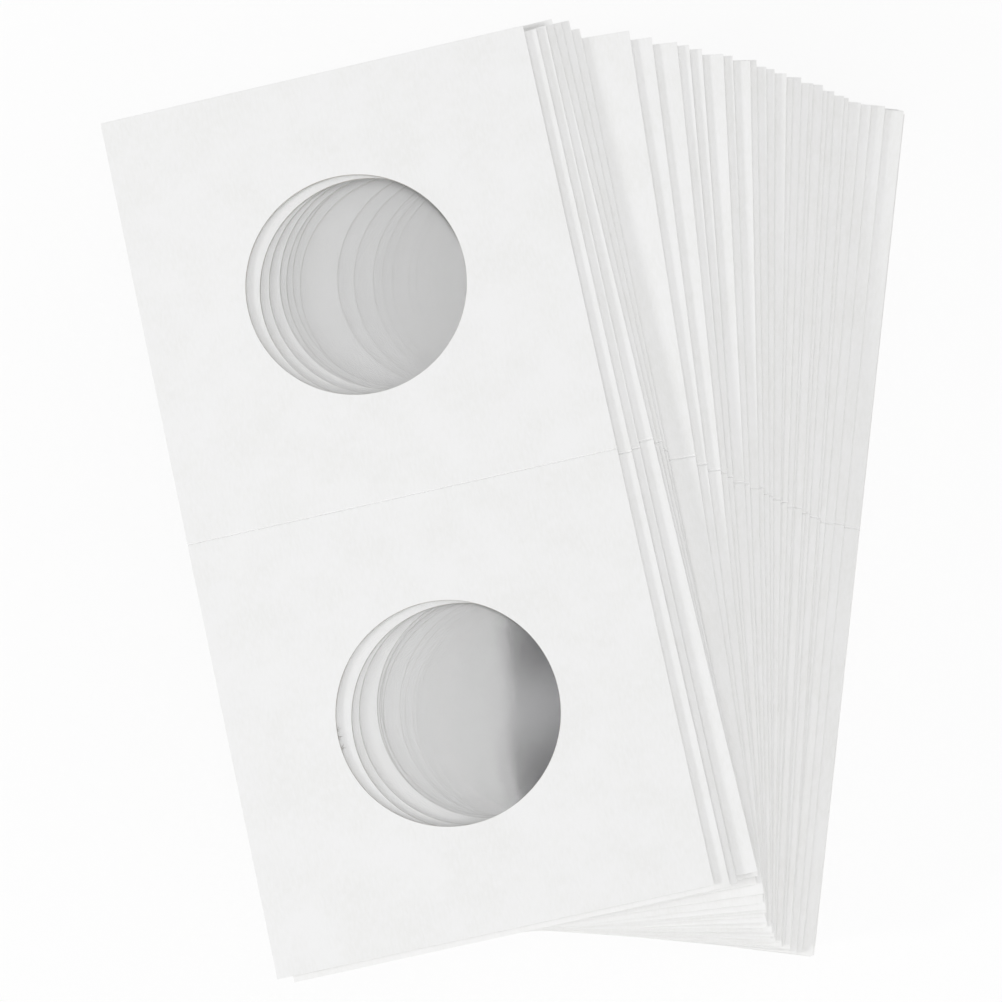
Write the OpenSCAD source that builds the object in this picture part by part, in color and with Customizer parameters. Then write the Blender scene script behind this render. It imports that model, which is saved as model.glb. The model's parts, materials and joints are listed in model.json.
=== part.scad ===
// A fanned pack of coin holder flips. Each flip is a white card, lying opened flat, with a score
// across its middle, a round window in each half and a clear film bonded to its inner face.
// The cards lie outer face up. +Z is up, and the lowest flip is square to the axes with its far
// end towards +Y. The origin is the centre of the pack's underside.

/* [Card] */
// Width of a flip
card_w = 50.8; // [40:0.1:80]
// Length of each half of a flip, from the fold line to its end
half_l = 50.8; // [40:0.1:80]
// Thickness of the paperboard
card_t = 0.36; // [0.2:0.02:0.8]
// Width of the score pressed into the outer face along the fold line
score_w = 0.3; // [0.1:0.05:1]
// Depth of the score
score_d = 0.12; // [0.04:0.02:0.18]

/* [Window] */
// Diameter of the round window in the middle of each half
window_d = 25.8; // [10:0.1:38]

/* [Film] */
// Thickness of the clear film
film_t = 0.04; // [0.02:0.01:0.1]

/* [Pack] */
// Air left between one flip and the next
air_gap = 0.14; // [0.06:0.02:1]
// Gap at the fold line between the two leaves of the top flip, which folds
leaf_gap = 0.06; // [0.02:0.01:0.2]

/* [Fan] */
// Turn of the top flip away from the lowest one, in degrees
fan_angle = 19; // [0:0.1:40]
// Distance from the near end out to the axis that the flips turn about
axis_out = 17.7; // [0:0.1:60]
// Distance from the lowest flip's centre line to that axis, towards -X
axis_side = 7.8; // [0:0.1:25]
// Largest sideways slip of a flip, towards -X
side_slip = 6; // [0:0.1:12]
// Largest endways slip of a flip, towards -Y
end_slip = 2.2; // [0:0.1:6]
// Small unevenness of the lower flips
uneven = 0.2; // [0:0.05:1]

/* [Hidden] */
// The fan from the top flip down, as [flip, share of fan_angle, of side_slip, of end_slip], read
// from where each flip's corner, side and fold line show; flips between two rows lie between
fan_shares = [
    [1, 1.00, 1.00, 0.67],
    [2, 1.01, 0.70, 0.98],
    [3, 1.00, 0.57, 0.82],
    [4, 1.05, 0.10, 0.72],
    [5, 1.02, 0.14, 0.80],
    [6, 0.99, 0.17, 0.60],
    [7, 0.95, 0.26, 0.89],
    [8, 0.80, 0.29, 0.73],
    [9, 0.72, 0.39, 0.84],
    [10, 0.64, 0.43, 0.83],
    [11, 0.60, 0.46, 0.81],
    [12, 0.55, 0.54, 0.80],
    [13, 0.48, 0.58, 0.78],
    [14, 0.45, 0.59, 0.72],
    [15, 0.39, 0.64, 0.69],
    [16, 0.38, 0.58, 0.57],
    [18, 0.32, 0.59, 0.77],
    [20, 0.25, 0.68, 0.68],
    [22, 0.21, 0.66, 0.66],
    [24, 0.18, 0.58, 0.61],
    [26, 0.15, 0.50, 0.72],
    [28, 0.12, 0.38, 0.69],
    [29, 0.07, 0.50, 0.72],
    [30, 0.06, 0.35, 0.53],
    [32, 0.00, 0.10, 0.42],
    [35, 0.00, 0.06, 0.33],
    [40, 0.01, 0.08, 0.00],
    [50, 0.00, 0.00, 0.00]
];
// The top flip folds, the next ones lie singly, and the rest lie in packets that move as one
folding_count = 1;
single_count = 14;
packet_counts = [2, 2, 2, 2, 3, 3, 3, 3, 3, 3, 3, 3, 3];
first_uneven = 17;
// Angle between the unevenness of one flip and of the next, which never repeats
uneven_step = 137.5;
// Length by which a cut runs past what it cuts
overrun = 0.5;
window_fn = 96;

function total(list, n) = n == 0 ? 0 : list[n - 1] + total(list, n - 1);
function flips_above(p) = folding_count + single_count + total(packet_counts, p);
function packed_flips(p) = [for (place = [1 : packet_counts[p]]) flips_above(p) + place];
singles = [for (place = [1 : single_count]) folding_count + place];
packets = [for (p = [0 : len(packet_counts) - 1]) p];
flips = flips_above(len(packet_counts));
pitch = film_t + card_t + air_gap;
axis_x = -axis_side;
axis_y = -half_l - axis_out;

function share(flip, column) = lookup(flip, [for (row = fan_shares) [row[0], row[column]]]);
function is_uneven(flip) = flip >= first_uneven && flip < flips;
function turn_of(flip) = fan_angle * share(flip, 1);
function side_of(flip) =
    -side_slip * share(flip, 2) + (is_uneven(flip) ? uneven * sin(uneven_step * flip) : 0);
function end_of(flip) =
    -end_slip * share(flip, 3) + (is_uneven(flip) ? uneven * cos(uneven_step * flip) : 0);
function height_of(flip) = (flips - flip) * pitch;

function two_digits(n) = n < 10 ? str("0", n) : str(n);
function flip_name(flip) = str("flip_", two_digits(flip));
function packet_name(p) = str("flips_", min(packed_flips(p)), "_to_", max(packed_flips(p)));

// Puts a flip drawn about its own fold line, inner face down on z = 0, into its place in the fan
module placed(flip) {
    translate([axis_x, axis_y, height_of(flip)])
        rotate([0, 0, turn_of(flip)])
            translate([side_of(flip) - axis_x, end_of(flip) - axis_y, 0])
                children();
}

// Outline of a sheet from one distance along the flip to another
module strip_outline(from_y, to_y) {
    translate([-card_w / 2, from_y])
        square([card_w, to_y - from_y]);
}

// The two round windows, one in the middle of each half
module window_outlines() {
    for (side = [-1, 1])
        translate([0, side * half_l / 2])
            circle(d = window_d, $fn = window_fn);
}

// The pressed score: a shallow V along the fold line, open at the card's outer face
module score_cut() {
    translate([-card_w / 2 - overrun, 0, film_t + card_t])
        rotate([90, 0, 90])
            linear_extrude(height = card_w + 2 * overrun)
                polygon([[-score_w / 2, 0], [0, -score_d], [score_w / 2, 0],
                         [score_w / 2, overrun], [-score_w / 2, overrun]]);
}

// Paperboard between two distances along the flip, with its windows and score
module board(from_y, to_y) {
    difference() {
        translate([0, 0, film_t])
            linear_extrude(height = card_t)
                difference() {
                    strip_outline(from_y, to_y);
                    window_outlines();
                }
        score_cut();
    }
}

// Film between two distances along the flip; it closes the windows from the inner face
module sheet(from_y, to_y) {
    linear_extrude(height = film_t)
        strip_outline(from_y, to_y);
}

// A whole card in its place
module card(flip) {
    color("whitesmoke")
        placed(flip)
            board(-half_l, half_l);
}

// A whole film in its place
module film(flip) {
    color("lightsteelblue", 0.5)
        placed(flip)
            sheet(-half_l, half_l);
}

// The near leaf's card of the top flip, up to its side of the fold
module near_card() {
    color("white")
        placed(1)
            board(-half_l, -leaf_gap / 2);
}

// The far leaf's card of the top flip, from its side of the fold
module far_card() {
    color("white")
        placed(1)
            board(leaf_gap / 2, half_l);
}

// The near leaf's film of the top flip
module near_film() {
    color("lightsteelblue", 0.5)
        placed(1)
            sheet(-half_l, -leaf_gap / 2);
}

// The far leaf's film of the top flip
module far_film() {
    color("lightsteelblue", 0.5)
        placed(1)
            sheet(leaf_gap / 2, half_l);
}

// The cards of a packet
module packet_cards(p) {
    for (flip = packed_flips(p))
        card(flip);
}

// The films of a packet
module packet_films(p) {
    for (flip = packed_flips(p))
        film(flip);
}

near_card();  // flip_01_near_card
far_card();  // flip_01_far_card
near_film();  // flip_01_near_film
far_film();  // flip_01_far_film
for (flip = singles) {
    card(flip);
    film(flip);
}
for (p = packets) {
    packet_cards(p);
    packet_films(p);
}
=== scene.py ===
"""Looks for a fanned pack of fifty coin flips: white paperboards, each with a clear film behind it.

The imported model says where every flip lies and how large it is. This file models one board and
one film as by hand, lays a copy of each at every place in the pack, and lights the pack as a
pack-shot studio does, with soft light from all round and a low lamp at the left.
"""

import json
import logging
import math
import random
from collections.abc import Callable, Iterable, Iterator, Mapping, Sequence
from contextlib import contextmanager
from dataclasses import dataclass, field
from enum import Enum
from typing import Any

import bpy
import numpy as np
from mathutils import Matrix, Vector


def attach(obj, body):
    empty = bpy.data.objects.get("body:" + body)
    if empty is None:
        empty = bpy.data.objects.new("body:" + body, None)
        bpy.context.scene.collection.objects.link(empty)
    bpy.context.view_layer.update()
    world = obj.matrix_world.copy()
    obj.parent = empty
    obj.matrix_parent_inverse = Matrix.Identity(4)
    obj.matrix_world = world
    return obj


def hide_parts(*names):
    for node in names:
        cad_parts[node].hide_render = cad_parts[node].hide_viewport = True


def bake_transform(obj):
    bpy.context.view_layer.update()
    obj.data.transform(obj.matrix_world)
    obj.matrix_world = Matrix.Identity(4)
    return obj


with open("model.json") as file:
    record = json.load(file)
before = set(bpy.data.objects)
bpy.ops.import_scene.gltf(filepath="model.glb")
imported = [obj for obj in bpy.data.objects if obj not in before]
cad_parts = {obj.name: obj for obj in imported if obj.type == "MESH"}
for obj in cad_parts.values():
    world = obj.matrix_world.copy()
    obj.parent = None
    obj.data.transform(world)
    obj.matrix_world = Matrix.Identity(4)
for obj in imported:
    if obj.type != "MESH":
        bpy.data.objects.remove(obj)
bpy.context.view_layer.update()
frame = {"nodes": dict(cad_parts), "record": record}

LOG = logging.getLogger("coin_flips")
MM = 0.001
SHEET_PLACE = "sheet_place"
# How far the finishes' patterns move on from one sheet to the next, so that no two sheets match
PATTERN_STEP_MM = (61.7, 113.3, 17.9)
# Two places in millimetres, or two shares, that differ by less than this are taken as the same
TOUCHING = 1e-3
# A wave texture of scale 1 holds this many radians of wave in each unit
WAVE_RATE = 20.0
# The colour inputs and the colour output of a mix node, by number, because its kinds share names
MIX_FIRST, MIX_SECOND, MIX_RESULT = 6, 7, 2


class Slot(Enum):
    """The record's material slots that the pieces stand for."""

    CARD = "card"
    FILM = "film"


class Leaf(Enum):
    """The two bodies of the top flip, which folds."""

    NEAR = "flip_01_near"
    FAR = "flip_01_far"


def linear_colour(hex_code: str) -> tuple[float, float, float, float]:
    """Turns an sRGB hex colour into the linear colour that a shader wants.

    Args:
        hex_code: six hex digits, with or without a leading hash.

    Returns:
        Linear red, green and blue, with an alpha of 1.
    """
    digits = hex_code.lstrip("#")
    shares = [int(digits[i:i + 2], 16) / 255 for i in (0, 2, 4)]
    red, green, blue = (s / 12.92 if s <= 0.04045 else ((s + 0.055) / 1.055) ** 2.4 for s in shares)
    return red, green, blue, 1.0


def per_mm(size_mm: float) -> float:
    """Gives a texture scale whose pattern repeats at a real size, on coordinates in millimetres."""
    return 1 / size_mm


def add_node(
    tree: bpy.types.NodeTree,
    kind: str,
    settings: Mapping[str | int, Any] | None = None,
    links: Mapping[str | int, bpy.types.NodeSocket] | None = None,
) -> bpy.types.Node:
    """Adds a node to a tree with its settings and links.

    Args:
        tree: the node tree that the node goes in.
        kind: Blender's name for the node type.
        settings: values by property name, or by the name or number of an input.
        links: output sockets by the name or number of the input that each one feeds.

    Returns:
        The new node.
    """
    node = tree.nodes.new(kind)
    for name, value in (settings or {}).items():
        if isinstance(name, str) and name in node.bl_rna.properties:
            setattr(node, name, value)
        else:
            node.inputs[name].default_value = value
    for name, socket in (links or {}).items():
        tree.links.new(socket, node.inputs[name])
    return node


def new_material(name: str) -> tuple[bpy.types.Material, bpy.types.NodeTree]:
    """Makes an empty node material.

    Args:
        name: the material's name.

    Returns:
        The material and its node tree, with nothing in it.
    """
    material = bpy.data.materials.new(name)
    material.use_nodes = True
    material.node_tree.nodes.clear()
    return material, material.node_tree


def seen_directly(tree: bpy.types.NodeTree) -> bpy.types.NodeSocket:
    """Adds nodes that tell rays that show a thing from rays that carry light from it.

    Args:
        tree: the node tree that the nodes go in.

    Returns:
        A socket that is 1 for camera, glossy and transmission rays, and 0 for the others.
    """
    path = add_node(tree, "ShaderNodeLightPath")
    mirrored = add_node(
        tree, "ShaderNodeMath", {"operation": "MAXIMUM"},
        {0: path.outputs["Is Glossy Ray"], 1: path.outputs["Is Transmission Ray"]},
    )
    seen = add_node(
        tree, "ShaderNodeMath", {"operation": "MAXIMUM"},
        {0: path.outputs["Is Camera Ray"], 1: mirrored.outputs[0]},
    )
    return seen.outputs[0]


def deselect_all() -> None:
    """Leaves nothing selected, so that an operator acts only on what is added next."""
    bpy.ops.object.select_all(action="DESELECT")


def make_active(shape: bpy.types.Object) -> None:
    """Selects one object, alone, and makes it the active one.

    Args:
        shape: the object that the next operator works on.
    """
    deselect_all()
    shape.select_set(True)
    bpy.context.view_layer.objects.active = shape


def apply_transform(shape: bpy.types.Object) -> None:
    """Puts an object's place, turn and scale into its mesh."""
    make_active(shape)
    bpy.ops.object.transform_apply(location=True, rotation=True, scale=True)


def apply_modifier(shape: bpy.types.Object, kind: str, **settings: Any) -> None:
    """Adds a modifier to an object, sets it and applies it.

    Args:
        shape: the object to work on.
        kind: Blender's name for the modifier type.
        settings: the modifier's settings by name.
    """
    make_active(shape)
    modifier = shape.modifiers.new(kind.lower(), kind)
    for name, value in settings.items():
        setattr(modifier, name, value)
    bpy.ops.object.modifier_apply(modifier=modifier.name)


@contextmanager
def editing(shape: bpy.types.Object) -> Iterator[None]:
    """Opens an object in edit mode for the length of a with block.

    Args:
        shape: the object whose mesh is edited.
    """
    make_active(shape)
    bpy.ops.object.mode_set(mode="EDIT")
    bpy.ops.mesh.select_mode(type="VERT")
    yield
    bpy.ops.object.mode_set(mode="OBJECT")


def select_vertices(shape: bpy.types.Object, wanted: Callable[[Vector], bool]) -> None:
    """Leaves selected, for edit mode, only the vertices whose places are wanted.

    Args:
        shape: the object, in object mode.
        wanted: a test of a vertex's place.
    """
    for part in (shape.data.edges, shape.data.polygons):
        part.foreach_set("select", [False] * len(part))
    for vertex in shape.data.vertices:
        vertex.select = wanted(vertex.co)


def cut_across(shape: bpy.types.Object, distances: Iterable[float]) -> None:
    """Cuts edges across a shape at some distances along Y, and leaves it whole.

    Args:
        shape: the object to cut.
        distances: the Y of each cut.
    """
    for distance in distances:
        with editing(shape):
            bpy.ops.mesh.select_all(action="SELECT")
            bpy.ops.mesh.bisect(plane_co=(0, distance, 0), plane_no=(0, 1, 0))


def copy_of(shape: bpy.types.Object, name: str) -> bpy.types.Object:
    """Copies an object with its own mesh.

    Args:
        shape: the object to copy.
        name: the copy's name.

    Returns:
        The copy, linked into the scene.
    """
    twin = shape.copy()
    twin.data = shape.data.copy()
    twin.name = twin.data.name = name
    bpy.context.scene.collection.objects.link(twin)
    return twin


def joined(shapes: Sequence[bpy.types.Object], name: str) -> bpy.types.Object:
    """Joins objects into one.

    Args:
        shapes: the objects, at least one.
        name: the name of the result.

    Returns:
        The joined object.
    """
    make_active(shapes[0])
    for shape in shapes[1:]:
        shape.select_set(True)
    if len(shapes) > 1:
        bpy.ops.object.join()
    shapes[0].name = shapes[0].data.name = name
    return shapes[0]


@dataclass(frozen=True)
class SheetPlace:
    """Where a flip lies: the middle of its fold line on its underside, in metres, and its turn."""

    middle: Vector
    turn: float

    def matrix(self) -> Matrix:
        """Gives the matrix that lays a sheet drawn in millimetres at this place."""
        scale = Matrix.Scale(MM, 4)
        return Matrix.Translation(self.middle) @ Matrix.Rotation(self.turn, 4, "Z") @ scale

    def local(self, points: np.ndarray) -> np.ndarray:
        """Gives points of the frame in the sheet's own millimetres."""
        inverse = np.array(self.matrix().inverted())
        return points @ inverse[:3, :3].T + inverse[:3, 3]


def node_points(nodes: Iterable[str]) -> np.ndarray:
    """Gives the places of the vertices of some CAD nodes.

    Args:
        nodes: the names of the nodes.

    Returns:
        One row of x, y and z in metres for each vertex.
    """
    return np.array([v.co for name in nodes for v in frame["nodes"][name].data.vertices], float)


def sheet_places(film_nodes: Sequence[str]) -> list[SheetPlace]:
    """Reads where the flips of a body lie from the corners of its films.

    Args:
        film_nodes: the body's film nodes, whose flat sheets lie at levels of their own.

    Returns:
        The place of each flip, from the lowest one up.
    """
    points = node_points(film_nodes)
    microns = np.round(points[:, 2] * 1e6).astype(int)
    # Each film has two levels, its underside and its top
    undersides = sorted(set(microns))[::2]
    places = []
    for level in undersides:
        corners = np.unique(np.round(points[microns == level], 7), axis=0)
        middle = corners.mean(axis=0)
        flat = corners[:, :2] - middle[:2]
        # The way that the corners spread most is the long one, and it is taken towards the far end
        along = np.linalg.eigh(flat.T @ flat)[1][:, -1]
        along = along * np.sign(along[1])
        places.append(SheetPlace(Vector(middle), math.atan2(-along[0], along[1])))
    return places


@dataclass(frozen=True)
class FlipSizes:
    """Sizes that every flip shares, in millimetres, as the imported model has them."""

    width: float
    length: float
    film: float
    board: float
    window_radius: float
    window_out: float

    @classmethod
    def of(cls, card_node: str, film_node: str) -> "FlipSizes":
        """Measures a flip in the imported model.

        Args:
            card_node: the node of one card.
            film_node: the node of the film on the same flip.

        Returns:
            The sizes of the flip.
        """
        place = sheet_places([film_node])[0]
        sheet = place.local(node_points([film_node]))
        card = place.local(node_points([card_node]))
        width, length, film = sheet.max(axis=0) - sheet.min(axis=0)
        board = card[:, 2].max() - card[:, 2].min()
        # What lies within this margin of the far half's edges is the rim of its window
        margin = 1.0
        across, out = card[:, 0], card[:, 1]
        inside = (abs(across) < width / 2 - margin) & (out < length / 2 - margin) & (out > margin)
        across, out = across[inside], out[inside]
        radius = (across.max() - across.min()) / 2
        return cls(width, length, film, board, radius, (out.max() + out.min()) / 2)

    @property
    def top(self) -> float:
        """Height of a flip's outer face over its underside."""
        return self.film + self.board

    def window_middles(self) -> tuple[Vector, Vector]:
        """Middles of the near and the far window on the flip's own plane."""
        return Vector((0, -self.window_out, 0)), Vector((0, self.window_out, 0))


@dataclass(frozen=True)
class WhitePaperboard:
    """Bleached white paperboard, pressed smooth: a bright soft sheen over faint cloudy fibre."""

    face: str = "#F3F3F3"
    cloud: str = "#EFEFEE"
    speck: str = "#A9A6A0"
    cloud_mm: float = 5.0
    cloud_detail: float = 2.0
    cloud_range: tuple[float, float] = (0.15, 0.4)
    fibre_mm: float = 0.3
    fibre_detail: float = 2.0
    fibre_harshness: float = 0.6
    fibre_range: tuple[float, float] = (0.3, 0.7)
    fibre_stretch: float = 3.5
    speck_apart_mm: float = 26.0
    speck_mm: float = 0.14
    roughness: tuple[float, float] = (0.5, 0.66)
    relief_mm: float = 0.006
    ior: float = 1.5

    def colour(
        self,
        tree: bpy.types.NodeTree,
        place: bpy.types.NodeSocket,
        fibres: bpy.types.NodeSocket,
    ) -> bpy.types.NodeSocket:
        """Adds the colour of the board's face: clouded pulp with a rare speck.

        Args:
            tree: the node tree that the nodes go in.
            place: the place on the sheet, in millimetres.
            fibres: how much fibre lies there.

        Returns:
            The socket of the colour.
        """
        clouds = add_node(
            tree, "ShaderNodeTexNoise",
            {"Scale": per_mm(self.cloud_mm), "Detail": self.cloud_detail},
            {"Vector": place},
        )
        both = add_node(
            tree, "ShaderNodeMath", {"operation": "MULTIPLY"}, {0: clouds.outputs[0], 1: fibres}
        )
        amount = add_node(
            tree, "ShaderNodeMapRange",
            {"From Min": self.cloud_range[0], "From Max": self.cloud_range[1]},
            {"Value": both.outputs[0]},
        )
        pulp = add_node(
            tree, "ShaderNodeMix",
            {
                "data_type": "RGBA",
                MIX_FIRST: linear_colour(self.face), MIX_SECOND: linear_colour(self.cloud),
            },
            {0: amount.outputs[0]},
        )
        cells = add_node(
            tree, "ShaderNodeTexVoronoi", {"Scale": per_mm(self.speck_apart_mm)}, {"Vector": place}
        )
        near_speck = add_node(
            tree, "ShaderNodeMath",
            {"operation": "LESS_THAN", 1: self.speck_mm / 2 / self.speck_apart_mm},
            {0: cells.outputs["Distance"]},
        )
        specked = add_node(
            tree, "ShaderNodeMix", {"data_type": "RGBA", MIX_SECOND: linear_colour(self.speck)},
            {0: near_speck.outputs[0], MIX_FIRST: pulp.outputs[MIX_RESULT]},
        )
        return specked.outputs[MIX_RESULT]

    def material(self) -> bpy.types.Material:
        """Builds the board's face: its colour, and fibres that lie along it and lift its sheen.

        Returns:
            The material, whose patterns follow the sheet.
        """
        material, tree = new_material("bleached_white_paperboard")
        place = add_node(tree, "ShaderNodeAttribute", {"attribute_name": SHEET_PLACE}).outputs["Vector"]
        along = add_node(
            tree, "ShaderNodeMapping", {"Scale": (1, 1 / self.fibre_stretch, 1)}, {"Vector": place}
        )
        noise = add_node(
            tree, "ShaderNodeTexNoise",
            {
                "Scale": per_mm(self.fibre_mm), "Detail": self.fibre_detail,
                "Roughness": self.fibre_harshness,
            },
            {"Vector": along.outputs["Vector"]},
        )
        fibres = noise.outputs[0]
        sheen = add_node(
            tree, "ShaderNodeMapRange",
            {
                "From Min": self.fibre_range[0], "From Max": self.fibre_range[1],
                "To Min": self.roughness[0], "To Max": self.roughness[1],
            },
            {"Value": fibres},
        )
        relief = add_node(
            tree, "ShaderNodeBump", {"Strength": 1.0, "Distance": self.relief_mm * MM},
            {"Height": fibres},
        )
        shader = add_node(
            tree, "ShaderNodeBsdfPrincipled", {"IOR": self.ior},
            {
                "Base Color": self.colour(tree, place, fibres), "Roughness": sheen.outputs[0],
                "Normal": relief.outputs[0],
            },
        )
        add_node(tree, "ShaderNodeOutputMaterial", {}, {"Surface": shader.outputs[0]})
        return material


@dataclass(frozen=True)
class CutBoardEdge:
    """The board where a blade or punch went through: matt, fluffy and faintly layered."""

    name: str = "cut_paperboard_edge"
    light: str = "#F6F5F3"
    dark: str = "#E6E4E0"
    fluff_mm: float = 0.45
    fluff_detail: float = 3.0
    fluff_harshness: float = 0.6
    fluff_range: tuple[float, float] = (0.35, 0.7)
    ply_mm: float = 0.09
    roughness: float = 0.9
    relief_mm: float = 0.02
    ior: float = 1.5

    def material(self) -> bpy.types.Material:
        """Builds the cut edge: plies along it, torn into short fibres.

        Returns:
            The material, whose plies lie along the sheet.
        """
        material, tree = new_material(self.name)
        place = add_node(tree, "ShaderNodeAttribute", {"attribute_name": SHEET_PLACE}).outputs["Vector"]
        plies = add_node(
            tree, "ShaderNodeMapping", {"Scale": (1, 1, self.fluff_mm / self.ply_mm)}, {"Vector": place}
        )
        fluff = add_node(
            tree, "ShaderNodeTexNoise",
            {
                "Scale": per_mm(self.fluff_mm), "Detail": self.fluff_detail,
                "Roughness": self.fluff_harshness,
            },
            {"Vector": plies.outputs["Vector"]},
        )
        amount = add_node(
            tree, "ShaderNodeMapRange",
            {"From Min": self.fluff_range[0], "From Max": self.fluff_range[1]},
            {"Value": fluff.outputs[0]},
        )
        colour = add_node(
            tree, "ShaderNodeMix",
            {
                "data_type": "RGBA",
                MIX_FIRST: linear_colour(self.light), MIX_SECOND: linear_colour(self.dark),
            },
            {0: amount.outputs[0]},
        )
        relief = add_node(
            tree, "ShaderNodeBump", {"Strength": 1.0, "Distance": self.relief_mm * MM},
            {"Height": fluff.outputs[0]},
        )
        shader = add_node(
            tree, "ShaderNodeBsdfPrincipled", {"IOR": self.ior, "Roughness": self.roughness},
            {"Base Color": colour.outputs[MIX_RESULT], "Normal": relief.outputs[0]},
        )
        add_node(tree, "ShaderNodeOutputMaterial", {}, {"Surface": shader.outputs[0]})
        return material


@dataclass(frozen=True)
class ClearPolyester:
    """Clear polyester film: a see-through gloss and a trace of milk, both deeper where films pile up."""

    reflectance: float = 0.05
    slant_power: float = 5.0
    milkiness: float = 0.01
    roughness: tuple[float, float] = (0.02, 0.06)
    rubbed_mm: float = 9.0
    rubbed_detail: float = 1.0
    rubbed_range: tuple[float, float] = (0.35, 0.65)
    mirror_tint: str = "#F4F4F4"
    milk_tint: str = "#FFFFFF"

    def material(self) -> bpy.types.Material:
        """Builds the film: light goes straight on, or each face mirrors it or scatters a trace.

        Returns:
            The material, which mirrors more at a slant.
        """
        material, tree = new_material("clear_polyester_film")
        place = add_node(tree, "ShaderNodeAttribute", {"attribute_name": SHEET_PLACE}).outputs["Vector"]
        rubbed = add_node(
            tree, "ShaderNodeTexNoise",
            {"Scale": per_mm(self.rubbed_mm), "Detail": self.rubbed_detail},
            {"Vector": place},
        )
        gloss = add_node(
            tree, "ShaderNodeMapRange",
            {
                "From Min": self.rubbed_range[0], "From Max": self.rubbed_range[1],
                "To Min": self.roughness[0], "To Max": self.roughness[1],
            },
            {"Value": rubbed.outputs[0]},
        )
        # With a blend of a half, Facing is 1 less the cosine of the slant
        slant = add_node(tree, "ShaderNodeLayerWeight", {"Blend": 0.5})
        steepened = add_node(
            tree, "ShaderNodeMath", {"operation": "POWER", 1: self.slant_power},
            {0: slant.outputs["Facing"]},
        )
        mirrored = add_node(
            tree, "ShaderNodeMath",
            {"operation": "MULTIPLY_ADD", 1: 1 - self.reflectance, 2: self.reflectance},
            {0: steepened.outputs[0]},
        )
        clear = add_node(tree, "ShaderNodeBsdfTransparent", {"Color": (1, 1, 1, 1)})
        mirror = add_node(
            tree, "ShaderNodeBsdfAnisotropic", {"Color": linear_colour(self.mirror_tint)},
            {"Roughness": gloss.outputs[0]},
        )
        glossy = add_node(
            tree, "ShaderNodeMixShader", {},
            {0: mirrored.outputs[0], 1: clear.outputs[0], 2: mirror.outputs[0]},
        )
        milk = add_node(tree, "ShaderNodeBsdfDiffuse", {"Color": linear_colour(self.milk_tint)})
        film = add_node(
            tree, "ShaderNodeMixShader", {0: self.milkiness}, {1: glossy.outputs[0], 2: milk.outputs[0]}
        )
        add_node(tree, "ShaderNodeOutputMaterial", {}, {"Surface": film.outputs[0]})
        return material


@dataclass
class Sheets:
    """What boards and films share: laying copies of a master in the places of a pack."""

    sizes: FlipSizes

    def remember_place(self, shape: bpy.types.Object, number: int) -> None:
        """Stores each vertex's place on its own sheet, which the finishes follow as it folds.

        Args:
            shape: a sheet in its own millimetres.
            number: the sheet's number, which moves the pattern so that no two sheets match.
        """
        places = np.array([v.co for v in shape.data.vertices]) + np.array(PATTERN_STEP_MM) * number
        attribute = shape.data.attributes.new(SHEET_PLACE, "FLOAT_VECTOR", "POINT")
        attribute.data.foreach_set("vector", places.ravel())

    def lay(self, shape: bpy.types.Object, place: SheetPlace, number: int) -> None:
        """Moves a sheet from its own millimetres to its place in the pack.

        Args:
            shape: a sheet in its own millimetres.
            place: where the flip lies.
            number: the sheet's number.
        """
        self.remember_place(shape, number)
        shape.matrix_world = place.matrix()
        apply_transform(shape)

    def finished(self, master: bpy.types.Object, name: str, number: int) -> bpy.types.Object:
        """Makes one sheet from the master, in its own millimetres.

        Args:
            master: what to copy.
            name: the name of the sheet.
            number: the sheet's number, for kinds of sheet that differ from one to the next.

        Returns:
            The sheet.
        """
        return copy_of(master, name)

    def packet(
        self, master: bpy.types.Object, places: Sequence[SheetPlace], first: int, name: str
    ) -> bpy.types.Object:
        """Lays sheets in a packet and joins them.

        Args:
            master: what to copy.
            places: where each one lies.
            first: the number of the first sheet.
            name: the name of the packet.

        Returns:
            The sheets as one object.
        """
        sheets = []
        for number, place in enumerate(places, first):
            sheet = self.finished(master, name, number)
            self.lay(sheet, place, number)
            sheets.append(sheet)
        return joined(sheets, name)


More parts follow.
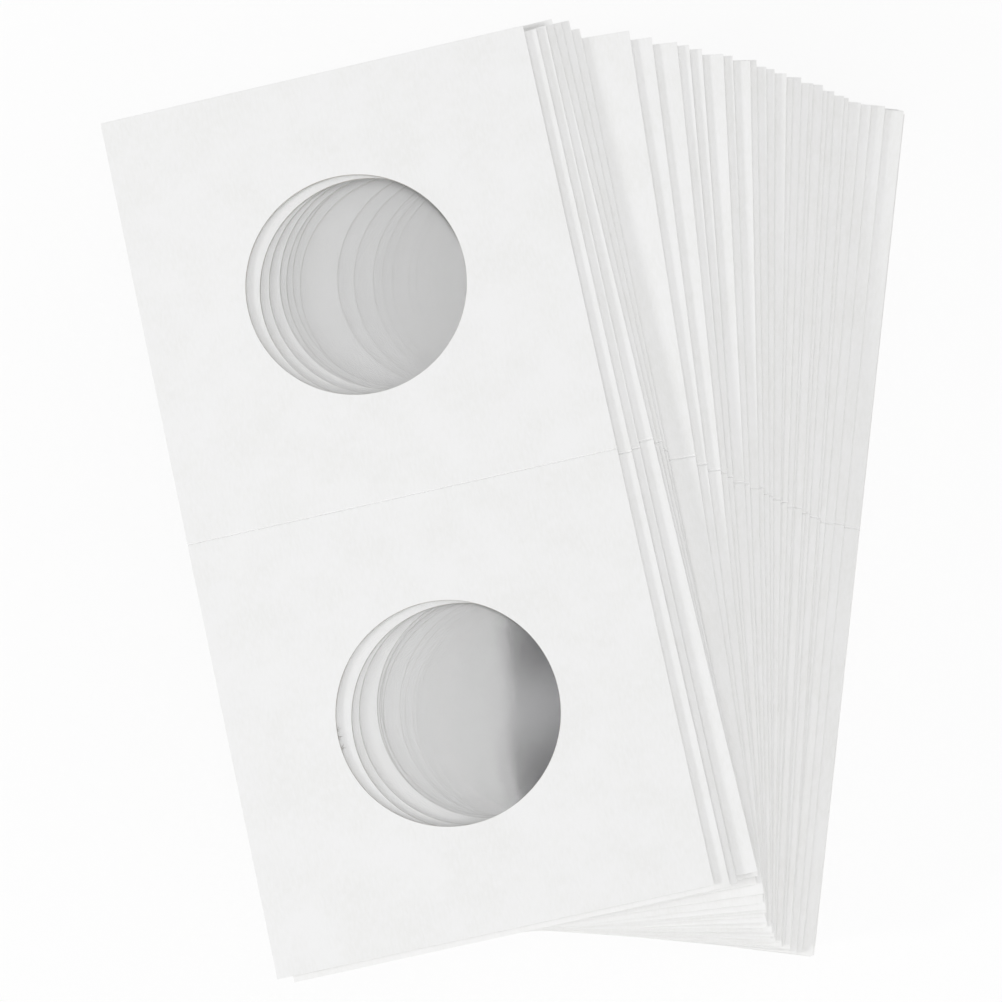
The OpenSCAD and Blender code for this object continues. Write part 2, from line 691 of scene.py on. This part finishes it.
@dataclass
class Boards(Sheets):
    """The paperboards: cut to size, scored across the middle and punched with two windows."""

    edge_round: float = 0.03
    edge_steps: int = 2
    rounded_over: float = math.radians(80)
    rim_sides: int = 128
    score_width: float = 0.3
    score_depth: float = 0.12
    edge_slope: float = 0.55
    rim_slope: float = 0.98
    finishes: list[bpy.types.Material] = field(default_factory=list)

    def score_cuts(self) -> list[float]:
        """Gives the cuts that the score needs: its two shoulders and its bottom."""
        return [-self.score_width / 2, 0, self.score_width / 2]

    def master(self, name: str, extra_cuts: Iterable[float] = ()) -> bpy.types.Object:
        """Models one board in millimetres about the middle of its fold line.

        Args:
            name: the name of the object.
            extra_cuts: more cuts across the board, where it is to bend.

        Returns:
            The board, dressed, with its underside on the film's top.
        """
        deselect_all()
        middle_height = self.sizes.film + self.sizes.board / 2
        bpy.ops.mesh.primitive_cube_add(
            size=1, location=(0, 0, middle_height),
            scale=(self.sizes.width, self.sizes.length, self.sizes.board),
        )
        board = bpy.context.object
        board.name = board.data.name = name
        apply_transform(board)
        cut_across(board, sorted({*self.score_cuts(), *extra_cuts}))
        self.press_score(board)
        self.punch_windows(board)
        apply_modifier(
            board, "BEVEL", width=self.edge_round, segments=self.edge_steps, limit_method="ANGLE",
            angle_limit=self.rounded_over,
        )
        self.dress(board)
        return board

    def press_score(self, board: bpy.types.Object) -> None:
        """Presses the score: a shallow V across the outer face.

        Args:
            board: the board, cut across at the score.
        """
        select_vertices(board, lambda at: abs(at.y) < TOUCHING and at.z > self.sizes.top - TOUCHING)
        with editing(board):
            bpy.ops.transform.translate(value=(0, 0, -self.score_depth))

    def punch_windows(self, board: bpy.types.Object) -> None:
        """Punches the two round windows.

        Args:
            board: the board to punch.
        """
        for middle in self.sizes.window_middles():
            deselect_all()
            bpy.ops.mesh.primitive_cylinder_add(
                vertices=self.rim_sides, radius=self.sizes.window_radius, depth=4 * self.sizes.top,
                location=(0, middle.y, 0),
            )
            punch = bpy.context.object
            apply_modifier(board, "BOOLEAN", operation="DIFFERENCE", solver="EXACT", object=punch)
            bpy.data.objects.remove(punch)

    def dress(self, board: bpy.types.Object) -> None:
        """Gives the faces the first finish, the cut edges the second and the punched rims the third, a
        greyer one that paints their shade.

        Args:
            board: the finished board.
        """
        for finish in self.finishes:
            board.data.materials.append(finish)
        reach = self.sizes.window_radius + 2 * self.edge_round
        for polygon in board.data.polygons:
            across = min((polygon.center - at).xy.length for at in self.sizes.window_middles())
            # The punched rims take the third, greyer finish: painted shade along the windows
            if across < reach and abs(polygon.normal.z) < self.rim_slope:
                polygon.material_index = 2
            else:
                polygon.material_index = int(abs(polygon.normal.z) < self.edge_slope)


@dataclass
class Films(Sheets):
    """The clear films: flat where they are bonded, and drum-tight and faintly wavy in the windows."""

    rings: int = 9
    rim_sides: int = 72
    crown: tuple[float, float] = (0.01, 0.11)
    wave: float = 0.007
    wave_length: tuple[float, float] = (9.0, 17.0)
    waves: int = 4
    smooth_under: float = math.radians(30)
    finish: bpy.types.Material | None = None

    def master(self, name: str, extra_cuts: Iterable[float] = ()) -> bpy.types.Object:
        """Models the middle surface of one film in millimetres, without its thickness.

        Args:
            name: the name of the object.
            extra_cuts: cuts across the film, where it is to bend.

        Returns:
            The sheet, with each window filled by flat rings, which a crown and waves shape later.
        """
        deselect_all()
        bpy.ops.mesh.primitive_plane_add(size=1)
        film = bpy.context.object
        film.name = film.data.name = name
        film.scale = (self.sizes.width, self.sizes.length, 1)
        film.location.z = self.sizes.film / 2
        apply_transform(film)
        with editing(film):
            bpy.ops.mesh.select_all(action="SELECT")
            bpy.ops.mesh.delete(type="ONLY_FACE")
            for middle in self.sizes.window_middles():
                bpy.ops.mesh.primitive_circle_add(
                    vertices=self.rim_sides, radius=self.sizes.window_radius,
                    location=(0, middle.y, self.sizes.film / 2),
                )
            bpy.ops.mesh.select_all(action="SELECT")
            bpy.ops.mesh.fill(use_beauty=True)
        for middle in self.sizes.window_middles():
            self.stretch_membrane(film, middle)
        cut_across(film, extra_cuts)
        with editing(film):
            bpy.ops.mesh.select_all(action="SELECT")
            bpy.ops.mesh.normals_make_consistent(inside=False)
        return film

    def stretch_membrane(self, film: bpy.types.Object, middle: Vector) -> None:
        """Fills a window with rings that a crown and waves can shape.

        Args:
            film: the sheet with an open window.
            middle: the middle of the window.
        """
        radius = self.sizes.window_radius
        select_vertices(film, lambda at: abs(math.hypot(at.x, at.y - middle.y) - radius) < TOUCHING)
        with editing(film):
            bpy.ops.mesh.edge_face_add()
            for _ in range(self.rings):
                bpy.ops.mesh.inset(thickness=radius / (self.rings + 1), depth=0)
            bpy.ops.mesh.poke()

    def shape_membranes(self, film: bpy.types.Object, number: int) -> None:
        """Gives the film in each window its own crown and waves, upwards only.

        Args:
            film: a sheet in its own millimetres.
            number: the film's number, which seeds its shape.
        """
        chance = random.Random(number)
        for middle in self.sizes.window_middles():
            crown = chance.uniform(*self.crown)
            waves = [
                (
                    chance.uniform(*self.wave_length),
                    chance.uniform(0, math.tau),
                    chance.uniform(0, math.tau),
                )
                for _ in range(self.waves)
            ]
            for vertex in film.data.vertices:
                out = math.hypot(vertex.co.x, vertex.co.y - middle.y) / self.sizes.window_radius
                if out >= 1 - TOUCHING:
                    continue
                swell = 1 - out * out
                at = vertex.co
                ripple = sum(
                    math.sin(math.tau / length * (at.x * math.cos(way) + at.y * math.sin(way)) + shift)
                    for length, way, shift in waves
                )
                vertex.co.z += swell * (crown + self.wave * (ripple + self.waves))

    def finished(self, master: bpy.types.Object, name: str, number: int) -> bpy.types.Object:
        """Makes one film from the master: shapes it, gives it its thickness and dresses it.

        Args:
            master: the middle surface to copy.
            name: the name of the film.
            number: the film's number.

        Returns:
            The film in its own millimetres.
        """
        film = copy_of(master, name)
        self.shape_membranes(film, number)
        apply_modifier(film, "SOLIDIFY", thickness=self.sizes.film, offset=0)
        bpy.ops.object.shade_smooth_by_angle(angle=self.smooth_under)
        film.data.materials.append(self.finish)
        return film


@dataclass
class FoldingFlip:
    """The top flip, whose board and film fold along the score, inner faces together; here both lie flat,
    cut across the score.
    """

    boards: Boards
    films: Films
    bend_half: float = 0.75
    bend_cuts: int = 16

    def cuts(self) -> list[float]:
        """Gives the cuts across the crease that let a sheet bend in a smooth roll."""
        step = 2 * self.bend_half / self.bend_cuts
        return [round(-self.bend_half + i * step, 4) for i in range(self.bend_cuts + 1)]

    def make(self, number: int) -> None:
        """Builds the top flip's board and film flat, hides the nodes they stand for and plants the punch
        fuzz.

        Args:
            number: the flip's number.
        """
        nodes = [n for leaf in Leaf for n in frame["record"]["behaviour"]["bodies"][leaf.value]]
        cards = [n for n in nodes if n.endswith("card")]
        films = [n for n in nodes if n.endswith("film")]
        place = sheet_places(films)[0]
        board = self.boards.master("board_01", self.cuts())
        self.boards.lay(board, place, number)
        plane = self.films.master("film_plane_folding", self.cuts())
        film = self.films.finished(plane, "film_01", number)
        self.films.lay(film, place, number)
        bpy.data.objects.remove(plane)
        for piece, stood_for, slot in ((board, cards, Slot.CARD), (film, films, Slot.FILM)):
            start = place.matrix() @ Vector((0, -self.bend_half, self.boards.sizes.film))
            end = place.matrix() @ Vector((0, self.bend_half, self.boards.sizes.film))
            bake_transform(piece)
            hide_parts(*stood_for)
            LOG.info("%s bends between %s and %s", piece.name, Leaf.NEAR.value, Leaf.FAR.value)
        # Painted shade: the fibres' greys are far darker than the board's own cut edge and stand for the
        # shade among the curled fibres
        shaded_fuzz = CutBoardEdge(name="torn_fibres_painted_shade", light="#C9C7C2", dark="#7E7C78", fluff_mm=0.15)
        PunchFuzz(self.boards.sizes, shaded_fuzz.material()).make(self.boards, place, number)


@dataclass
class PunchFuzz:
    """Short curled fibres that a dull punch tore up on the rim of the top flip's near window."""

    sizes: FlipSizes
    finish: bpy.types.Material
    count: int = 12
    tufts: tuple[float, ...] = (math.radians(176.8), math.radians(180.4), math.radians(186.6))
    tuft_width: float = math.radians(1.1)
    radius: float = 0.042
    sides: int = 7
    joint: float = 0.11
    joints: int = 6
    taper: float = 0.88
    curl: float = math.radians(20)
    rooted: float = 0.03
    heights: tuple[float, float] = (0.13, 0.2)
    lengths: tuple[float, float] = (0.45, 1.1)
    spread: float = math.radians(52)
    roll: float = math.radians(40)
    seed: int = 7

    def master(self) -> bpy.types.Object:
        """Models one fibre in millimetres: a thin rod along X that curls up and tapers.

        Returns:
            The fibre, closed at both ends, with its root at the origin.
        """
        deselect_all()
        bpy.ops.mesh.primitive_circle_add(
            vertices=self.sides, radius=self.radius, fill_type="NGON", rotation=(0, math.pi / 2, 0)
        )
        fibre = bpy.context.object
        apply_transform(fibre)
        tip, way = Vector((0, 0, 0)), Vector((1, 0, 0))
        with editing(fibre):
            bpy.ops.mesh.select_all(action="SELECT")
            for _ in range(self.joints):
                bpy.ops.mesh.extrude_region_move(TRANSFORM_OT_translate={"value": way * self.joint})
                tip = tip + way * self.joint
                bpy.ops.transform.rotate(
                    value=self.curl / self.joints, orient_axis="Y", center_override=tip
                )
                bpy.ops.transform.resize(value=(self.taper,) * 3, center_override=tip)
                way = Matrix.Rotation(-self.curl / self.joints, 3, "Y") @ way
            bpy.ops.mesh.select_all(action="SELECT")
            bpy.ops.mesh.normals_make_consistent(inside=False)
        return fibre

    def make(self, maker: Sheets, place: SheetPlace, number: int) -> None:
        """Plants copies of the fibre along the rim, joined, riding on the near leaf.

        Args:
            maker: what lays the joined fibres in their place.
            place: where the top flip lies.
            number: the top flip's number.
        """
        chance = random.Random(self.seed)
        middle = self.sizes.window_middles()[0]
        fibre = self.master()
        fibres = []
        for index in range(self.count):
            tuft = self.tufts[index % len(self.tufts)]
            angle = tuft + chance.uniform(-self.tuft_width, self.tuft_width)
            rim = Vector((math.cos(angle), math.sin(angle), 0)) * (self.sizes.window_radius + self.rooted)
            root = middle + rim + Vector((0, 0, chance.uniform(*self.heights)))
            twin = copy_of(fibre, "punch_fuzz")
            turned = Matrix.Rotation(angle + math.pi + chance.uniform(-self.spread, self.spread), 4, "Z")
            rolled = Matrix.Rotation(chance.uniform(-self.roll, self.roll), 4, "X")
            sized = Matrix.Scale(chance.uniform(*self.lengths), 4)
            twin.matrix_world = Matrix.Translation(root) @ turned @ rolled @ sized
            apply_transform(twin)
            fibres.append(twin)
        bpy.data.objects.remove(fibre)
        fuzz = joined(fibres, "punch_fuzz")
        fuzz.data.materials.append(self.finish)
        maker.lay(fuzz, place, number)
        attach(fuzz, Leaf.NEAR.value)
        LOG.info("%s rides on %s", fuzz.name, Leaf.NEAR.value)


@dataclass
class Pack:
    """The flips under the top one, singly and in packets, each riding on its own body."""

    boards: Boards
    films: Films

    def make(self) -> None:
        """Lays a board and a film, or a packet of each, on every body but the top flip's."""
        board_master = self.boards.master("board_master")
        film_master = self.films.master("film_master")
        folding = {leaf.value for leaf in Leaf}
        for body, nodes in frame["record"]["behaviour"]["bodies"].items():
            if body in folding:
                continue
            films = [n for n in nodes if "film" in n]
            cards = [n for n in nodes if "card" in n]
            places = sheet_places(films)
            first = int(body.split("_")[1])
            for maker, master, kind, stood_for, slot in (
                (self.boards, board_master, "board", cards, Slot.CARD),
                (self.films, film_master, "film", films, Slot.FILM),
            ):
                piece = maker.packet(master, places, first, body.replace("flip", kind))
                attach(piece, body)
                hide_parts(*stood_for)
                LOG.info("%s rides on %s", piece.name, body)
        for master in (board_master, film_master):
            bpy.data.objects.remove(master)


@dataclass
class Studio:
    """White sweep, light from all round, strongest from the near right, a low lamp and the camera.

    The camera stands where its view of the top flip's corners, of the fan and of the pack's
    outline meets the photograph's. The grey rig that holds it and a bright panel beside the rig
    are mirrored in the near window.
    """

    camera_at: Vector = field(default_factory=lambda: Vector((13.30, -34.02, 380.16)) * MM)
    camera_right: Vector = field(default_factory=lambda: Vector((0.99043, 0.11684, -0.07340)))
    camera_up: Vector = field(default_factory=lambda: Vector((-0.10976, 0.98950, 0.09404)))
    lens: float = 111.38
    camera_reach: tuple[float, float] = (0.01, 10.0)
    rig_corner: Vector = field(default_factory=lambda: Vector((-49.3, 46.0, 390)) * MM)
    rig_turn: float = math.radians(10.7)
    rig_width: float = 0.17
    rig_length: float = 0.168
    # Painted reflection: the rig is a sheet seen only in the films' gloss, and these greys in soft bands
    # put dark and light patches into the near window
    painted_reflection_greys: tuple[str, str] = ("#747476", "#C3C3C5")
    reflection_bands_mm: float = 40.0
    reflection_darkest_mm: float = -47.0
    reflection_band_warp: dict[str, float] = field(
        default_factory=lambda: {"Distortion": 1.2, "Detail": 2.0, "Detail Scale": 3.0}
    )
    rig_roughness: float = 0.7
    panel_width: float = 0.075
    # Painted reflection: the panel glows though it is no lamp and shows only in gloss, brighter away from
    # the rig
    reflection_glow: tuple[float, float] = (1.5, 0.95)
    ambient: float = 0.84
    lean: tuple[float, float, float] = (0.6, -0.3, 0.0)
    lamp_at: Vector = field(default_factory=lambda: Vector((-0.79, -0.31, 0.51)))
    lamp_size: float = 0.17
    lamp_power: float = 2.6
    floor_side: float = 3.0
    floor_white: str = "#F4F4F4"
    floor_roughness: float = 0.8
    floor_shown: float = 0.9
    film_depth: int = 160
    mirror_depth: int = 8
    paper_depth: int = 8

    def make(self) -> None:
        """Sets up the floor, the lights, the camera and the view settings."""
        scene = bpy.context.scene
        scene.view_settings.view_transform = "Standard"
        scene.cycles.transparent_max_bounces = self.film_depth
        scene.cycles.glossy_bounces = self.mirror_depth
        scene.cycles.diffuse_bounces = self.paper_depth
        scene.cycles.max_bounces = self.mirror_depth + self.paper_depth
        self.lay_floor()
        self.hang_rig()
        self.hang_panel()
        self.light_world()
        self.hang_lamp()
        self.set_camera()

    def lay_floor(self) -> None:
        """Lays the white floor that the pack lies on, which keeps a faint shadow."""
        deselect_all()
        bpy.ops.mesh.primitive_plane_add(size=self.floor_side)
        floor = bpy.context.object
        floor.name = "white_sweep"
        material, tree = new_material("white_sweep")
        paper = add_node(
            tree, "ShaderNodeBsdfPrincipled",
            {"Base Color": linear_colour(self.floor_white), "Roughness": self.floor_roughness},
        )
        glow = add_node(tree, "ShaderNodeEmission", {"Strength": 1.0})
        share = add_node(
            tree, "ShaderNodeMath", {"operation": "MULTIPLY", 1: self.floor_shown}, {0: seen_directly(tree)}
        )
        mixed = add_node(
            tree, "ShaderNodeMixShader", {}, {0: share.outputs[0], 1: paper.outputs[0], 2: glow.outputs[0]}
        )
        add_node(tree, "ShaderNodeOutputMaterial", {}, {"Surface": mixed.outputs[0]})
        floor.data.materials.append(material)

    def hang_screen(self, name: str, from_side: float, to_side: float) -> bpy.types.Object:
        """Hangs a flat screen beside the lens, which shows only where the films mirror it.

        Args:
            name: the screen's name.
            from_side: where it starts, across, from the rig's corner, in metres.
            to_side: where it ends.

        Returns:
            The screen, with its Object coordinates in metres from the rig's corner.
        """
        deselect_all()
        length = self.rig_length
        bpy.ops.mesh.primitive_plane_add(size=1)
        screen = bpy.context.object
        screen.name = name
        screen.scale = (to_side - from_side, length, 1)
        screen.location = ((from_side + to_side) / 2, -length / 2, 0)
        apply_transform(screen)
        screen.location = self.rig_corner
        screen.rotation_euler.z = self.rig_turn
        screen.visible_camera = screen.visible_diffuse = False
        screen.visible_shadow = screen.visible_transmission = False
        return screen

    def hang_rig(self) -> None:
        """Hangs the grey rig sheet, seen only in gloss, whose soft bands, darker and lighter in turn, paint
        a reflection into the near window.
        """
        rig = self.hang_screen("camera_rig", 0.0, self.rig_width)
        material, tree = new_material("rig_painted_reflection")
        place = add_node(tree, "ShaderNodeTexCoord").outputs["Object"]
        # Painted reflection: warped bands of the two greys, darkest at a set distance from the rig's corner
        bands = add_node(
            tree, "ShaderNodeTexWave",
            {
                "bands_direction": "Y", "Scale": math.tau / WAVE_RATE * per_mm(self.reflection_bands_mm) / MM,
                "Phase Offset": -math.tau * self.reflection_darkest_mm / self.reflection_bands_mm,
                **self.reflection_band_warp,
            },
            {"Vector": place},
        )
        dark, light = map(linear_colour, self.painted_reflection_greys)
        grey = add_node(
            tree, "ShaderNodeMix", {"data_type": "RGBA", MIX_FIRST: dark, MIX_SECOND: light},
            {0: bands.outputs["Fac"]},
        )
        paint = add_node(
            tree, "ShaderNodeBsdfPrincipled", {"Roughness": self.rig_roughness},
            {"Base Color": grey.outputs[MIX_RESULT]},
        )
        add_node(tree, "ShaderNodeOutputMaterial", {}, {"Surface": paint.outputs[0]})
        rig.data.materials.append(material)

    def hang_panel(self) -> None:
        """Hangs the glowing panel beside the rig, which fades towards it: a painted reflection that shows
        only in gloss.
        """
        panel = self.hang_screen("bright_panel", -self.panel_width, 0.0)
        material, tree = new_material("panel_painted_reflection")
        place = add_node(tree, "ShaderNodeTexCoord").outputs["Object"]
        across = add_node(tree, "ShaderNodeSeparateXYZ", {}, {0: place})
        far, near = self.reflection_glow
        strength = add_node(
            tree, "ShaderNodeMapRange",
            {"From Min": -self.panel_width, "From Max": 0.0, "To Min": far, "To Max": near},
            {"Value": across.outputs["X"]},
        )
        glow = add_node(tree, "ShaderNodeEmission", {}, {"Strength": strength.outputs[0]})
        add_node(tree, "ShaderNodeOutputMaterial", {}, {"Surface": glow.outputs[0]})
        panel.data.materials.append(material)

    def light_world(self) -> None:
        """Wraps the pack in soft white light, shown to the camera and in gloss as plain white."""
        world = bpy.data.worlds.new("soft_white_room")
        bpy.context.scene.world = world
        world.use_nodes = True
        tree = world.node_tree
        tree.nodes.clear()
        way = add_node(tree, "ShaderNodeTexCoord").outputs["Generated"]
        leaning = add_node(
            tree, "ShaderNodeVectorMath", {"operation": "DOT_PRODUCT", 1: self.lean}, {0: way}
        )
        light = add_node(
            tree, "ShaderNodeMath", {"operation": "MULTIPLY_ADD", 1: self.ambient, 2: self.ambient},
            {0: leaning.outputs["Value"]},
        )
        strength = add_node(
            tree, "ShaderNodeMix", {"data_type": "FLOAT", 3: 1.0},
            {0: seen_directly(tree), 2: light.outputs[0]},
        )
        white = add_node(
            tree, "ShaderNodeBackground", {"Color": (1, 1, 1, 1)}, {"Strength": strength.outputs[0]}
        )
        add_node(tree, "ShaderNodeOutputWorld", {}, {"Surface": white.outputs[0]})

    def hang_lamp(self) -> None:
        """Hangs a small soft lamp low at the left, which draws each flip's edge on the next one."""
        deselect_all()
        bpy.ops.object.light_add(type="AREA", location=self.lamp_at)
        lamp = bpy.context.object
        lamp.name = "low_soft_lamp"
        lamp.data.shape = "DISK"
        lamp.data.size = self.lamp_size
        lamp.data.energy = self.lamp_power
        lamp.rotation_euler = self.lamp_at.to_track_quat("Z", "Y").to_euler()
        lamp.visible_glossy = False

    def set_camera(self) -> None:
        """Sets the camera where the photograph was taken from."""
        bpy.ops.object.camera_add()
        camera = bpy.context.object
        camera.name = "camera"
        camera.data.lens = self.lens
        back = self.camera_right.cross(self.camera_up)
        turn = Matrix((self.camera_right, self.camera_up, back)).transposed()
        camera.matrix_world = Matrix.Translation(self.camera_at) @ turn.to_4x4()
        camera.data.clip_start, camera.data.clip_end = self.camera_reach
        bpy.context.scene.camera = camera


def main() -> None:
    """Builds the pack and the studio in order."""
    logging.basicConfig(level=logging.INFO, format="%(message)s")
    sizes = FlipSizes.of("flip_02_card", "flip_02_film")
    LOG.info("flip sizes in mm: %s", sizes)
    # Painted shade: the punched rims' walls are greyer than the other cut edges, to draw the thin dark
    # rings that the stacked windows' rims show
    punched = CutBoardEdge(name="punched_rim_painted_shade", light="#C4C2BD", dark="#A6A39E")
    finishes = [WhitePaperboard().material(), CutBoardEdge().material(), punched.material()]
    boards = Boards(sizes, finishes=finishes)
    films = Films(sizes, finish=ClearPolyester().material())
    FoldingFlip(boards, films).make(number=1)
    Pack(boards, films).make()
    Studio().make()


if __name__ == "__main__":
    main()
